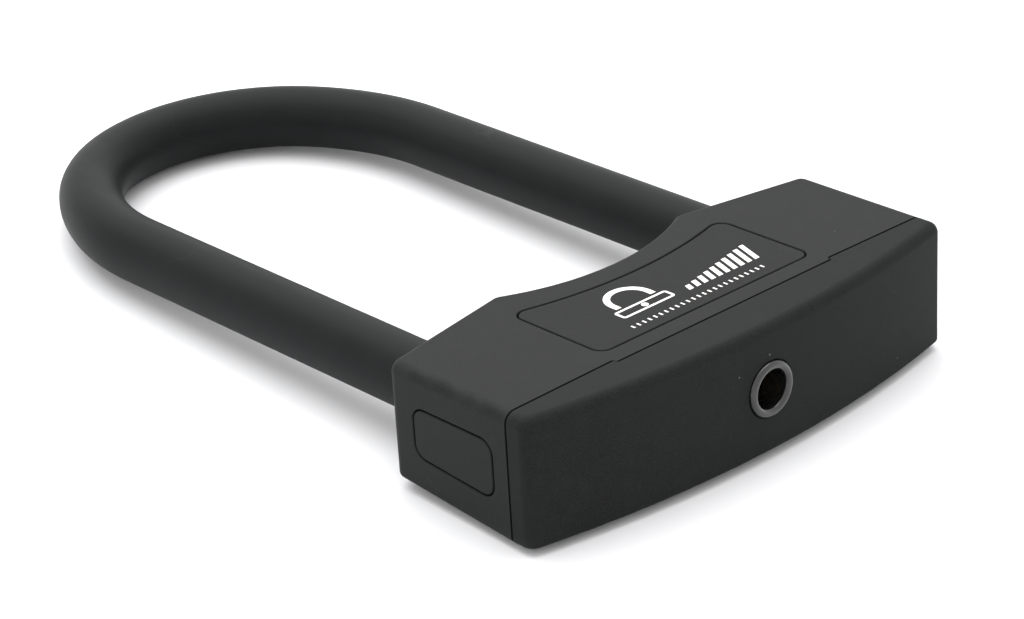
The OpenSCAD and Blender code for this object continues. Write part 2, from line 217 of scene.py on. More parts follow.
class StudioSettings(bpy.types.PropertyGroup):
    """The floor, the lights and the camera."""

    floor: tint("Floor", "Colour of the floor", (0.73, 0.73, 0.74))
    sky: FloatProperty(name="Sky", description="Strength of the white surroundings", default=1.35)
    roof_power: watts("Roof light", "Power of the soft light overhead", 18)
    back_power: watts("Back light", "Power of the soft light behind", 0.5)
    side_power: watts("Side light", "Power of the soft light at the left", 1.5)
    rest_back: size("Heel", "Where the shell's back rests on the floor", 24 * MM)
    rest_front: size("Toe", "Where the bend rests on the floor", 186 * MM)
    rest_height: size("Toe height", "Height of the bend's underside over the shell's", 6.5 * MM)
    azimuth: FloatProperty(name="Azimuth", description="Turn of the view from +Y towards +X",
                           default=math.radians(41.239), subtype="ANGLE")
    elevation: FloatProperty(name="Elevation", description="How far the view looks down",
                             default=math.radians(25.589), subtype="ANGLE")
    roll: FloatProperty(name="Roll", description="Roll of the camera",
                        default=math.radians(-3.55), subtype="ANGLE")
    distance: size("Distance", "Distance from the camera to its target", 634.7 * MM)
    target: FloatVectorProperty(name="Target", description="What the camera looks at", size=3,
                                default=(-0.00905, 0.04207, 0.014), unit="LENGTH", precision=5)
    lens: FloatProperty(name="Lens", description="Focal length in millimetres", default=105.523)


GROUPS = {
    "u_lock_crossbar": CrossbarSizes,
    "u_lock_inlays": InlaySizes,
    "u_lock_shackle": ShackleSizes,
    "u_lock_screws": ScrewSizes,
    "u_lock_finishes": LockFinishes,
    "u_lock_studio": StudioSettings,
}


# ---------------------------------------------------------------- outlines


def arc(centre, radius, start, end, steps, hollow=False):
    """Points on an arc from start to end degrees, each with the outline's outward direction."""
    points = []
    for i in range(steps + 1):
        angle = math.radians(start + (end - start) * i / steps)
        way = Vector((math.cos(angle), math.sin(angle)))
        points.append((centre + radius * way, -way if hollow else way))
    return points


def mirrored(half):
    """A whole outline from its right half, whose first and last points are on the Y axis."""
    left = [(Vector((-p.x, p.y)), Vector((-n.x, n.y))) for p, n in reversed(half[1:-1])]
    return half + left


def circle(radius, steps=72):
    """A circle's points, with their outward directions, around the lock's middle height."""
    return arc(Vector((0, MID_Z)), radius, 0, 360 - 360 / steps, steps - 1)


def rounded_rectangle(middle, width, height, radius):
    """A rectangle's outline with round corners."""
    points = []
    for turn, side, rise in ((0, 1, 1), (90, -1, 1), (180, -1, -1), (270, 1, -1)):
        corner = middle + Vector((side * (width / 2 - radius), rise * (height / 2 - radius)))
        points += arc(corner, radius, turn, turn + 90, 8)
    return points


def back_line(x):
    """Y of the back beside the waist, at a distance x from the middle."""
    bar = bpy.context.scene.u_lock_crossbar
    return bar.end_back + (HALF_W - abs(x)) * math.tan(bar.shoulder_slope)


def joint_line(bar, side):
    """Right half of the joint, on the shell's side of the gap (1) or on the cover's (-1)."""
    y = -bar.joint + side * bar.joint_gap / 2
    step = bar.tongue_step / 2
    still = Vector((0, 0))
    return [
        (Vector((0, y - step)), still),
        (Vector((bar.tongue, y - step)), still),
        (Vector((bar.tongue + step, y + step)), still),
        (Vector((HALF_W, y + step - bar.joint_slant)), Vector((1, 0))),
    ]


def shell_outline(bar):
    """The shell seen from above: the joint, the ends, the shoulders and the waist."""
    slope = bar.shoulder_slope
    corner_x = HALF_W - bar.back_corner
    corner = Vector((corner_x, back_line(corner_x) - bar.back_corner / math.cos(slope)))
    waist = Vector((0, bar.waist_back + bar.waist))
    inward = Vector((math.sin(slope), math.cos(slope)))
    start = Vector((HALF_W, bar.end_back)) - bar.shoulder * inward
    way = Vector((-math.cos(slope), math.sin(slope)))
    gap = start - waist
    along = gap.dot(way)
    reach = bar.waist + bar.shoulder
    root = math.sqrt(along * along - gap.length_squared + reach * reach)
    ends = [start + (-along + side * root) * way for side in (-1, 1)]
    peak = next(p for p in ends if 0 < p.x < HALF_W)
    turn = math.degrees(math.atan2(waist.y - peak.y, -peak.x))
    flat = 90 - math.degrees(slope)
    half = joint_line(bar, 1)
    half += arc(corner, bar.back_corner, 0, flat, 10)
    half += arc(peak, bar.shoulder, flat, turn, 10)
    half += arc(waist, bar.waist, turn - 180, -90, 28, hollow=True)
    return mirrored(half)


def face_curve(bar, inset=0.0, corner_r=None):
    """Right half of the bowed key face, from the middle to the end."""
    corner_r = bar.face_corner if corner_r is None else corner_r
    radius = (HALF_W**2 + bar.face_bow**2) / (2 * bar.face_bow)
    centre = Vector((0, radius + FACE_Y))
    x = HALF_W - inset - corner_r
    corner = Vector((x, centre.y - math.sqrt((radius - inset - corner_r) ** 2 - x * x)))
    turn = math.degrees(math.atan2(corner.y - centre.y, corner.x))
    return arc(centre, radius - inset, -90, turn, 40) + arc(corner, corner_r, turn, 0, 10)


def face_y(bar, x):
    """Y of the key face at a distance x from the middle."""
    radius = (HALF_W**2 + bar.face_bow**2) / (2 * bar.face_bow)
    return radius + FACE_Y - math.sqrt(radius * radius - x * x)


def cover_outline(bar):
    """The cover seen from above: the bowed key face and the joint."""
    return mirrored(face_curve(bar) + list(reversed(joint_line(bar, -1))))


def label_outline(inlays):
    """The label plate seen from above, with its hollow back edge."""
    r = inlays.label_corner
    x = LABEL_HIGH.x - r
    centre = Vector((0, inlays.label_middle + inlays.label_arc))
    reach = inlays.label_arc + r
    corner = Vector((x, centre.y - math.sqrt(reach * reach - x * x)))
    turn = math.degrees(math.atan2(centre.y - corner.y, -corner.x))
    half = [(Vector((0, LABEL_LOW.y)), Vector((0, -1)))]
    half += arc(Vector((x, LABEL_LOW.y + r)), r, -90, 0, 8)
    half += arc(corner, r, 0, turn, 8)
    half += arc(centre, inlays.label_arc, turn - 180, -90, 24, hollow=True)
    return mirrored(half)


def plug_outline(inlays):
    """An end plug seen from its end."""
    middle = Vector(((PLUG_LOW.y + PLUG_HIGH.y) / 2, MID_Z))
    height = PLUG_HIGH.z - PLUG_LOW.z
    rise = bpy.context.scene.u_lock_crossbar.under_rise
    points = rounded_rectangle(middle, PLUG_HIGH.y - PLUG_LOW.y, height, inlays.plug_corner)
    return [
        (p + Vector((0, rise * (p.x - PLUG_LOW.y) * (PLUG_HIGH.z - p.y) / height)), way)
        for p, way in points
    ]


# ---------------------------------------------------------------- solid shapes


def as_object(name, bm):
    """An object in the scene from a finished bmesh."""
    mesh = bpy.data.meshes.new(name)
    bm.to_mesh(mesh)
    bm.free()
    piece = bpy.data.objects.new(name, mesh)
    bpy.context.scene.collection.objects.link(piece)
    return piece


def skin(name, rings, closed=False):
    """A solid through rings of points, flat at both ends or, if closed, joined end to end."""
    bm = bmesh.new()
    rows = [[bm.verts.new(point) for point in ring] for ring in rings]
    pairs = list(zip(rows, rows[1:]))
    if closed:
        pairs.append((rows[-1], rows[0]))
    else:
        bm.faces.new(rows[0])
        bm.faces.new(rows[-1])
    for low, high in pairs:
        for i, corner in enumerate(low):
            bm.faces.new((corner, low[i - 1], high[i - 1], high[i]))
    bmesh.ops.remove_doubles(bm, verts=bm.verts, dist=SAME_POINT)
    bmesh.ops.recalc_face_normals(bm, faces=bm.faces)
    return as_object(name, bm)


def rounded_edge(outline, radius_at, share, steps=7):
    """Rings of points round an edge, from its flat side at height 0 up to its wall. Its radius
    is a share of what radius_at gives for each point of the outline."""
    rings = []
    for i in range(steps + 1):
        angle = math.pi / 2 * i / steps
        ring = []
        for point, way in outline:
            r = radius_at(point) * share
            flat = point - way * r * (1 - math.sin(angle))
            ring.append(Vector((flat.x, flat.y, r * (1 - math.cos(angle)))))
        rings.append(ring)
    return rings


def rounded_block(name, outline, radius_at, share, rise=0.0):
    """A block as high as the crossbar. Its edges underneath have a share of the radius of those
    on top, and its underside rises towards the back."""
    front = min(point.y for point, way in outline)
    low = rounded_edge(outline, radius_at, share)
    low = [[p + Vector((0, 0, rise * (p.y - front))) for p in ring] for ring in low]
    high = [[Vector((p.x, p.y, HEIGHT - p.z)) for p in ring]
            for ring in reversed(rounded_edge(outline, radius_at, 1))]
    return skin(name, low + high)


def stacked(name, outline, place, rows):
    """A solid on an outline. Each row is how far it grows and its height over the surface,
    and place turns a point of the outline and a height into a place in space."""
    return skin(name, [[place(p + way * grow, rise) for p, way in outline] for grow, rise in rows])


def pocket(outline, place, depth, gap, rim):
    """A cutter for a recess with a rounded rim."""
    rows = [(gap, -depth)]
    for turn in range(0, 90 - RIM_STEP + 1, RIM_STEP):
        angle = math.radians(turn)
        rows.append((gap + rim * (1 - math.cos(angle)), rim * (math.sin(angle) - 1)))
    rows.append((rows[-1][0], 1 * MM))
    return stacked("cutter", outline, place, rows)


def panel(name, outline, place, depth, top, rim):
    """A flat panel with a rounded rim, from a depth up to its top, both from the surface."""
    rows = [(0, -depth)]
    for turn in range(0, 91, RIM_STEP):
        angle = math.radians(turn)
        rows.append((rim * (math.cos(angle) - 1), top + rim * (math.sin(angle) - 1)))
    return stacked(name, outline, place, rows)


def box_cutter(x, y0, y1, low, high):
    """A plain block, as wide on the left as on the right, to cut a hollow with."""
    rings = [[Vector((-x, y, z)) for y, z in corners] for corners in [
        [(y0, low), (y1, low), (y1, high), (y0, high)]]]
    rings.append([Vector((x, p.y, p.z)) for p in rings[0]])
    return skin("cutter", rings)


def settle(piece):
    """Applies a piece's modifiers to its mesh."""
    seen = piece.evaluated_get(bpy.context.evaluated_depsgraph_get())
    mesh = bpy.data.meshes.new_from_object(seen)
    piece.modifiers.clear()
    old = piece.data
    piece.data = mesh
    bpy.data.meshes.remove(old)
    mesh.name = piece.name
    return piece


def bevel(piece, width, least_angle):
    """Rounds the edges of a piece that turn by more than an angle."""
    rounding = piece.modifiers.new("Rim", "BEVEL")
    rounding.width = width
    rounding.segments = 3
    rounding.limit_method = "ANGLE"
    rounding.angle_limit = math.radians(least_angle)
    return settle(piece)


def cut(piece, cutters):
    """Cuts closed shapes out of a piece and throws them away. Where the piece's surface stays,
    it keeps the shading that it had."""
    form = smooth(as_copy(piece))
    for cutter in cutters:
        hollow = piece.modifiers.new("Cut", "BOOLEAN")
        hollow.operation = "DIFFERENCE"
        hollow.solver = "EXACT"
        hollow.object = cutter
    settle(piece)
    bm = bmesh.new()
    bm.from_mesh(piece.data)
    bmesh.ops.remove_doubles(bm, verts=bm.verts, dist=SAME_POINT)
    bm.to_mesh(piece.data)
    bm.free()
    for cutter in cutters:
        bpy.data.objects.remove(cutter)
    if len(piece.data.polygons) < 6:
        raise RuntimeError(f"cutting {piece.name} left nothing of it")
    smooth(piece)
    keep_shading(piece, form)
    bpy.data.objects.remove(form)
    return piece


def as_copy(piece):
    """A copy of a piece, with its own mesh."""
    twin = piece.copy()
    twin.data = piece.data.copy()
    bpy.context.scene.collection.objects.link(twin)
    return twin


def smooth(piece, crease=35):
    """Shades a piece smooth, apart from edges sharper than crease degrees."""
    piece.data.shade_smooth()
    piece.data.set_sharp_from_angle(angle=math.radians(crease))
    weighting = piece.modifiers.new("Flat faces stay flat", "WEIGHTED_NORMAL")
    weighting.keep_sharp = True
    return settle(piece)


def keep_shading(piece, form, near=2e-6, alike=0.9):
    """Gives a cut piece the normals of its uncut form, wherever the two share their surface."""
    form_seen = form.evaluated_get(bpy.context.evaluated_depsgraph_get())
    mesh, plain = piece.data, form_seen.data
    normals = [corner.vector.copy() for corner in mesh.corner_normals]
    for face in mesh.polygons:
        for corner in face.loop_indices:
            point = mesh.vertices[mesh.loops[corner].vertex_index].co
            found, spot, way, index = form_seen.closest_point_on_mesh(point)
            if not found or (spot - point).length > near or way.dot(face.normal) < alike:
                continue
            under = plain.polygons[index]
            shares = poly_3d_calc([plain.vertices[i].co for i in under.vertices], spot)
            blend = Vector()
            for share, loop in zip(shares, under.loop_indices):
                blend += plain.corner_normals[loop].vector * share
            normals[corner] = blend.normalized()
    mesh.normals_split_custom_set(normals)


def hand_over(piece, body, slot, *nodes, material=None):
    """Gives a finished piece its material and its body, and hides the CAD nodes that it stands for.
    The material is the one named after its slot, unless another is given."""
    if not piece.data.polygons:
        raise RuntimeError(f"{piece.name} came out empty")
    piece.data.materials.clear()
    piece.data.materials.append(material or lock_materials()[slot])
    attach(piece, body)
    if nodes:
        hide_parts(*nodes)


# ---------------------------------------------------------------- node trees


class Wire:
    """An output of a node, on which Python's operators add Math nodes."""

    def __init__(self, graph, socket):
        self.graph = graph
        self.socket = socket

    def other(self, name):
        """Another output of the same node."""
        return Wire(self.graph, self.socket.node.outputs[name])

    def math(self, operation, *values):
        """A Math node on these values, in order."""
        return self.graph.add("ShaderNodeMath", dict(enumerate(values)), operation=operation)

    def __add__(self, value):
        return self.math("ADD", self, value)

    def __radd__(self, value):
        return self.math("ADD", value, self)

    def __sub__(self, value):
        return self.math("SUBTRACT", self, value)

    def __rsub__(self, value):
        return self.math("SUBTRACT", value, self)

    def __mul__(self, value):
        return self.math("MULTIPLY", self, value)

    def __rmul__(self, value):
        return self.math("MULTIPLY", value, self)

    def __truediv__(self, value):
        return self.math("DIVIDE", self, value)

    def __abs__(self):
        return self.math("ABSOLUTE", self)

    def at_least(self, value):
        """This value, but never under another."""
        return self.math("MAXIMUM", self, value)

    def at_most(self, value):
        """This value, but never over another."""
        return self.math("MINIMUM", self, value)

    def over(self, value):
        """1 where this is greater than a value, and 0 elsewhere."""
        return self.math("GREATER_THAN", self, value)

    def sine(self):
        return self.math("SINE", self)

    def cosine(self):
        return self.math("COSINE", self)

    def ramp(self, low, high):
        """0 up to low, 1 from high, and smooth between them."""
        ends = {"Value": self, "From Min": low, "From Max": high}
        return self.graph.add("ShaderNodeMapRange", ends, interpolation_type="SMOOTHSTEP")


class Graph:
    """Adds nodes to a material's or a Geometry Nodes tree."""

    def __init__(self, tree):
        self.tree = tree

    def add(self, kind, sockets=None, out=0, **settings):
        """Adds a node, makes its settings, then fills its sockets with values or links."""
        node = self.tree.nodes.new(kind)
        for name, value in settings.items():
            setattr(node, name, value)
        for name, value in (sockets or {}).items():
            if isinstance(value, Wire):
                self.tree.links.new(value.socket, node.inputs[name])
            else:
                node.inputs[name].default_value = value
        return Wire(self, node.outputs[out]) if len(node.outputs) else None

    def noise(self, place, grain, detail=2.0):
        """Noise from 0 to 1, with features of about grain metres."""
        sockets = {"Vector": place, "Scale": 1 / grain, "Detail": detail}
        return self.add("ShaderNodeTexNoise", sockets)

    def mix(self, factor, first, second):
        """A colour between two colours."""
        ends = {0: factor, 6: first, 7: second}
        return self.add("ShaderNodeMix", ends, out=2, data_type="RGBA")

    def bump(self, strength, depth, height):
        """A bumped normal, for a height from 0 to about 1."""
        return self.add("ShaderNodeBump", {
            "Strength": strength, "Distance": depth, "Height": height})

    def stretch(self, place, scale):
        """A place scaled by a different number along each axis."""
        return self.add("ShaderNodeMapping", {"Vector": place, "Scale": scale})


# ---------------------------------------------------------------- finishes


def shade(colour, factor):
    """A colour made lighter or darker, with full alpha."""
    return (*[min(channel * factor, 1) for channel in colour], 1)


def finish(name, surface):
    """A material whose shader gets the sockets that surface(graph, place) works out."""
    material = bpy.data.materials.new(name)
    material.use_nodes = True
    material.node_tree.nodes.clear()
    graph = Graph(material.node_tree)
    place = graph.add("ShaderNodeTexCoord", out="Object")
    shader = graph.add("ShaderNodeBsdfPrincipled", surface(graph, place))
    graph.add("ShaderNodeOutputMaterial", {"Surface": shader})
    return material


def specks(graph, place, spacing, radius, share):
    """1 on small specks, about spacing apart, of which only a share is kept."""
    cells = graph.add("ShaderNodeTexVoronoi", {"Vector": place, "Scale": 1 / spacing})
    chance = graph.add("ShaderNodeSeparateColor", {"Color": cells.other("Color")})
    reach = radius / spacing
    return (1 - cells.ramp(reach * 0.6, reach)) * chance.over(1 - share)


def hairs(graph, place, spacing, width):
    """1 along sparse fine curved scratches."""
    bend = graph.noise(place, spacing, detail=1)
    where = graph.noise(place, spacing * 1.7, detail=0)
    line = 1 - abs(bend - 0.5).ramp(0, width)
    return line * where.ramp(0.64, 0.72)


def fillet_of_ends(graph, place, radius):
    """1 in the middle of the crossbar's long end edges, and 0 away from them."""
    spot = graph.add("ShaderNodeSeparateXYZ", {"Vector": place})
    out = (abs(spot) - (HALF_W - radius)).at_least(0)
    rise = (abs(spot.other("Z") - MID_Z) - (MID_Z - radius)).at_least(0)
    return (out * rise * (2 / radius**2)).at_most(1)


def moulded_plastic(colour, dust, roughness, spark=0.30, dusty=0.15, gloss=0.11, worn_edge=None):
    """Black plastic from a spark-eroded mould, with dust, handling marks and rubbed edges."""

    def surface(graph, place):
        cloud = graph.noise(place, 17 * MM, detail=3)
        patch = graph.noise(place, 4.5 * MM, detail=4)
        grain = graph.noise(place, 0.26 * MM, detail=3)
        pits = graph.noise(place, 0.9 * MM, detail=2)
        dirt = specks(graph, place, 4.2 * MM, 0.17 * MM, dusty)
        lint = specks(graph, place, 9.5 * MM, 0.30 * MM, dusty * 0.6)
        scuff = hairs(graph, place, 16 * MM, 0.0035) * grain.ramp(0.35, 0.6)
        body = graph.mix(cloud.ramp(0.3, 0.7), shade(colour, 0.76), shade(colour, 0.98))
        body = graph.mix(patch.ramp(0.45, 0.75) * 0.5, body, shade(colour, 1.22))
        body = graph.mix(grain.ramp(0.42, 0.68) * 0.6, body, shade(colour, 1.9))
        polish = (patch - 0.5) * 0.10 + (cloud - 0.5) * 0.08
        if worn_edge:
            rubbed = fillet_of_ends(graph, place, worn_edge) * patch.ramp(0.35, 0.65)
            body = graph.mix(rubbed * 0.5, body, shade(colour, 1.7))
            polish = polish - rubbed * 0.08
        body = graph.mix(scuff * 0.10, body, shade(dust, 0.45))
        body = graph.mix((dirt + lint).at_most(1) * 0.8, body, shade(dust, 1))
        height = grain + pits * 0.5 + scuff * 0.1
        bump = graph.bump(spark, 0.05 * MM, height)
        return {
            "Base Color": body,
            "Roughness": (roughness + polish + (grain - 0.5) * 0.16).at_most(1),
            "Specular IOR Level": gloss,
            "Normal": bump,
        }

    return surface


def glossy_plastic(colour, dust, roughness):
    """Smooth dark plastic, with a little orange peel and a few specks of dust."""

    def surface(graph, place):
        peel = graph.noise(place, 0.8 * MM, detail=1)
        haze = graph.noise(place, 2.4 * MM, detail=3)
        dirt = specks(graph, place, 1.6 * MM, 0.07 * MM, 0.16)
        body = graph.mix(haze.ramp(0.3, 0.7), shade(colour, 0.8), shade(colour, 1.3))
        body = graph.mix(dirt * 0.7, body, shade(dust, 1))
        bump = graph.bump(0.10, 0.05 * MM, peel)
        return {
            "Base Color": body,
            "Roughness": roughness + haze * 0.10 + dirt * 0.3,
            "Coat Weight": 0.4,
            "Coat Roughness": 0.12,
            "Normal": bump,
        }

    return surface


def soft_coat(colour, dust, roughness):
    """The rubbery coat of a shackle: faintly blotched, finely pitted and a little dusty."""

    def surface(graph, place):
        blotch = graph.noise(place, 11 * MM, detail=4)
        drag = graph.noise(graph.stretch(place, (1, 0.12, 1)), 2.2 * MM, detail=3)
        pits = graph.noise(place, 0.34 * MM, detail=3)
        dirt = specks(graph, place, 5.5 * MM, 0.16 * MM, 0.10)
        scuff = hairs(graph, place, 21 * MM, 0.003)
        body = graph.mix(blotch.ramp(0.3, 0.7), shade(colour, 0.86), shade(colour, 1.14))
        body = graph.mix(pits.ramp(0.4, 0.7) * 0.3, body, shade(colour, 1.4))
        body = graph.mix(scuff * 0.08, body, shade(dust, 0.4))
        body = graph.mix(dirt * 0.7, body, shade(dust, 1))
        height = pits * 0.6 + drag * 0.5 + blotch * 2
        bump = graph.bump(0.12, 0.06 * MM, height)
        return {
            "Base Color": body,
            "Roughness": roughness + (blotch - 0.5) * 0.10 + (drag - 0.5) * 0.06,
            "Specular IOR Level": 0.11,
            "Normal": bump,
        }

    return surface


def printed_ink(colour):
    """Matt pad-printed ink, a little thin in places."""

    def surface(graph, place):
        thin = graph.noise(place, 0.5 * MM, detail=3)
        wear = graph.noise(place, 3 * MM, detail=2)
        body = graph.mix(thin.ramp(0.35, 0.75) * 0.6, shade(colour, 1.05), shade(colour, 0.78))
        body = graph.mix(wear.ramp(0.6, 0.75) * 0.35, body, shade(colour, 0.5))
        bump = graph.bump(0.1, 0.02 * MM, thin)
        return {"Base Color": body, "Roughness": 0.55 + thin * 0.2, "Normal": bump}

    return surface


def metal(colour, roughness, lines, blotch, stain=0.35, grey=(0.05, 0.045, 0.04)):
    """Machined or plated metal. lines scales the places of its tool marks along each axis."""

    def surface(graph, place):
        marks = graph.noise(graph.stretch(place, lines), 0.12 * MM, detail=3)
        cloud = graph.noise(place, blotch, detail=4)
        spots = graph.noise(place, blotch * 0.22, detail=3)
        body = graph.mix(cloud.ramp(0.3, 0.7), shade(colour, 0.84), shade(colour, 1.1))
        body = graph.mix(marks.ramp(0.4, 0.8) * 0.3, body, shade(colour, 0.7))
        body = graph.mix(spots.ramp(0.6, 0.75) * stain, body, shade(grey, 2.4))
        bump = graph.bump(0.15, 0.02 * MM, marks + spots * 0.4)
        return {
            "Base Color": body,
            "Metallic": 1 - spots.ramp(0.6, 0.75) * stain * 0.5,
            "Roughness": roughness + (cloud - 0.5) * 0.12 + (marks - 0.5) * 0.12,
            "Normal": bump,
        }

    return surface


def studio_floor(colour):
    """A matt white sweep, barely uneven."""

    def surface(graph, place):
        cloud = graph.noise(place, 240 * MM, detail=2)
        tooth = graph.noise(place, 1.2 * MM, detail=2)
        body = graph.mix(cloud.ramp(0.3, 0.7), shade(colour, 0.985), shade(colour, 1.01))
        bump = graph.bump(0.03, 0.05 * MM, tooth)
        return {"Base Color": body, "Roughness": 0.75, "Specular IOR Level": 0.2, "Normal": bump}

    return surface


def lock_materials():
    """Every material of the lock, by the name of its slot, made once."""
    paint = bpy.context.scene.u_lock_finishes
    dust = tuple(paint.dust)
    edge = bpy.context.scene.u_lock_crossbar.end_edge
    surfaces = {
        "shell_plastic": moulded_plastic(tuple(paint.shell), dust, 0.56, worn_edge=edge),
        "cover_plastic": moulded_plastic(
            tuple(paint.cover), dust, 0.58, gloss=0.08, worn_edge=edge),
        "label_plastic": moulded_plastic(tuple(paint.label), dust, 0.60, spark=0.34),
        "plug_plastic": moulded_plastic(tuple(paint.plug), dust, 0.52, spark=0.20),
        "ring_gloss": glossy_plastic(tuple(paint.ring), dust, 0.15),
        "sleeve_rubber": soft_coat(tuple(paint.sleeve), dust, 0.50),
        "seal_rubber": soft_coat(tuple(paint.seal), dust, 0.70),
        "label_ink": printed_ink(tuple(paint.ink)),
        "rod_steel": metal(tuple(paint.rod), 0.28, (1, 0.02, 1), 9 * MM),
        "case_steel": metal(tuple(paint.case), 0.42, (1, 1, 0.4), 5 * MM, stain=0.5),
        "fastener_steel": metal(tuple(paint.fastener), 0.40, (1, 0.2, 1), 2 * MM),
        "hard_steel": metal(tuple(paint.hardened), 0.34, (0.05, 1, 1), 4 * MM),
        "cylinder_brass": metal(tuple(paint.brass), 0.27, (0.1, 1, 0.1), 4 * MM, stain=0.25),
    }
    return {
        name: bpy.data.materials.get(f"{name}_finish") or finish(f"{name}_finish", surface)
        for name, surface in surfaces.items()
    }


# ---------------------------------------------------------------- geometry nodes


def new_tree(name, inputs):
    """A Geometry Nodes tree with named inputs, and its graph and input wires."""
    tree = bpy.data.node_groups.new(name, "GeometryNodeTree")
    tree.interface.new_socket("Geometry", in_out="OUTPUT", socket_type="NodeSocketGeometry")
    for label, value in inputs.items():
        kind = "NodeSocketInt" if isinstance(value, int) else "NodeSocketFloat"
        kind = "NodeSocketVector" if isinstance(value, tuple) else kind
        kind = "NodeSocketMaterial" if label == "Material" else kind
        tree.interface.new_socket(label, in_out="INPUT", socket_type=kind)
    graph = Graph(tree)
    first = graph.add("NodeGroupInput")
    return tree, graph, {label: first.other(label) for label in inputs}


def grown(name, tree, inputs):
    """A plain mesh object made by a tree with these inputs."""
    piece = bpy.data.objects.new(name, bpy.data.meshes.new(name))
    bpy.context.scene.collection.objects.link(piece)
    growth = piece.modifiers.new(tree.name, "NODES")
    growth.node_group = tree
    sockets = {item.name: item.identifier for item in tree.interface.items_tree
               if item.in_out == "INPUT"}
    for label, value in inputs.items():
        growth[sockets[label]] = value
    return settle(piece)


def close_tree(graph, geometry, material):
    """Ends a tree with real geometry and its material."""
    real = graph.add("GeometryNodeRealizeInstances", {"Geometry": geometry})
    painted = graph.add("GeometryNodeSetMaterial", {"Geometry": real, "Material": material})
    graph.add("NodeGroupOutput", {"Geometry": painted})


def sleeve_tree(inputs):
    """A round sleeve that follows a U of two legs, two side bends and a tighter top bend."""
    tree, graph, given = new_tree("Bent sleeve", inputs)
    along, around = given["Steps along"], given["Steps around"]
    columns = along * 2 + 1
    grid = graph.add("GeometryNodeMeshGrid", {
        "Size X": 1, "Size Y": 1, "Vertices X": columns, "Vertices Y": around + 1})
    spot = graph.add("ShaderNodeSeparateXYZ", {
        "Vector": graph.add("GeometryNodeInputPosition")})
    column = ((spot + 0.5) * (columns - 1) + 0.5).math("FLOOR", (spot + 0.5) * (columns - 1) + 0.5)
    turn = (spot.other("Y") + 0.5) * math.tau
    inside = column.over(along - 0.5) * (1 - column.over(along * 2 - 0.5))
    back = inside * (along * 2 - 1 - column)
    step = back + (1 - inside) * column * (1 - column.over(along * 2 - 0.5))

    side_r, top_r = given["Side bend"], given["Top bend"]
    side_arc = side_r * given["Side angle"]
    top_arc = top_r * (math.pi / 2 - given["Side angle"])
    leg = given["Straight end"] - given["Start"]
    whole = (leg + side_arc + top_arc) * 2
    lip = given["Lip"]
    run = (lip + (whole - lip * 2) * (step - 1) / (along - 3)).at_least(0).at_most(whole)
    from_top = run - whole / 2
    away = abs(from_top)
    side = from_top.math("SIGN", from_top)
    past_top = away - top_arc
    on_side = past_top.over(0)
    angle = away.at_most(top_arc) / top_r + past_top.at_least(0).at_most(side_arc) / side_r
    radius = top_r + on_side * (side_r - top_r)
    centre_x = on_side * given["Side centre"]
    centre_y = given["Top centre"] + on_side * (given["Straight end"] - given["Top centre"])
    x = angle.sine() * radius - centre_x
    y = centre_y + radius * angle.cosine() - (past_top - side_arc).at_least(0)

    chamfer = (lip - run.at_most(whole - run)).at_least(0)
    round_bar = {0: run, 1: turn.sine() * 0.01, 2: turn.cosine() * 0.01}
    wander = graph.add("ShaderNodeTexNoise", {
        "Vector": graph.add("ShaderNodeCombineXYZ", round_bar), "Scale": 55, "Detail": 1})
    outer = given["Outer radius"] - chamfer + (wander - 0.6).at_most(0) * given["Ripple"] * 2
    reach = outer + inside * (given["Inner radius"] - outer)
    flat = reach * turn.cosine()
    place = graph.add("ShaderNodeCombineXYZ", {
        0: side * (x + flat * angle.sine()),
        1: y + flat * angle.cosine(),
        2: given["Middle height"] + reach * turn.sine(),
    })
    bent = graph.add("GeometryNodeSetPosition", {"Geometry": grid, "Position": place})
    joined = graph.add("GeometryNodeMergeByDistance", {"Geometry": bent, "Distance": 0.002 * MM})
    close_tree(graph, joined, given["Material"])
    return tree


def printed_row_tree(inputs):
    """A row of slanted printed bars whose height grows along the row."""
    tree, graph, given = new_tree("Printed row", inputs)
    count = given["Count"]
    line = graph.add("GeometryNodeMeshLine", {
        "Count": count,
        "Start Location": given["Start"],
        "Offset": graph.add("ShaderNodeCombineXYZ", {0: given["Spacing"]}),
    })
    bar = graph.add("GeometryNodeMeshCube", {"Size": (1, 1, 1)})
    raised = graph.add("GeometryNodeTransform", {"Geometry": bar, "Translation": (0.5, 0.5, 0.5)})
    index = graph.add("GeometryNodeInputIndex")
    tall = given["First height"] + given["Growth"] * index
    bulk = graph.add("ShaderNodeCombineXYZ", {0: given["Width"], 1: tall, 2: given["Thickness"]})
    row = graph.add("GeometryNodeInstanceOnPoints", {
        "Points": line, "Instance": raised, "Scale": bulk})
    real = graph.add("GeometryNodeRealizeInstances", {"Geometry": row})
    spot = graph.add("ShaderNodeSeparateXYZ", {"Vector": graph.add("GeometryNodeInputPosition")})
    base = graph.add("ShaderNodeSeparateXYZ", {"Vector": given["Start"]})
    lean = graph.add("ShaderNodeCombineXYZ", {
        0: (spot.other("Y") - base.other("Y")) * given["Slant"]})
    leaning = graph.add("GeometryNodeSetPosition", {"Geometry": real, "Offset": lean})
    close_tree(graph, leaning, given["Material"])
    return tree


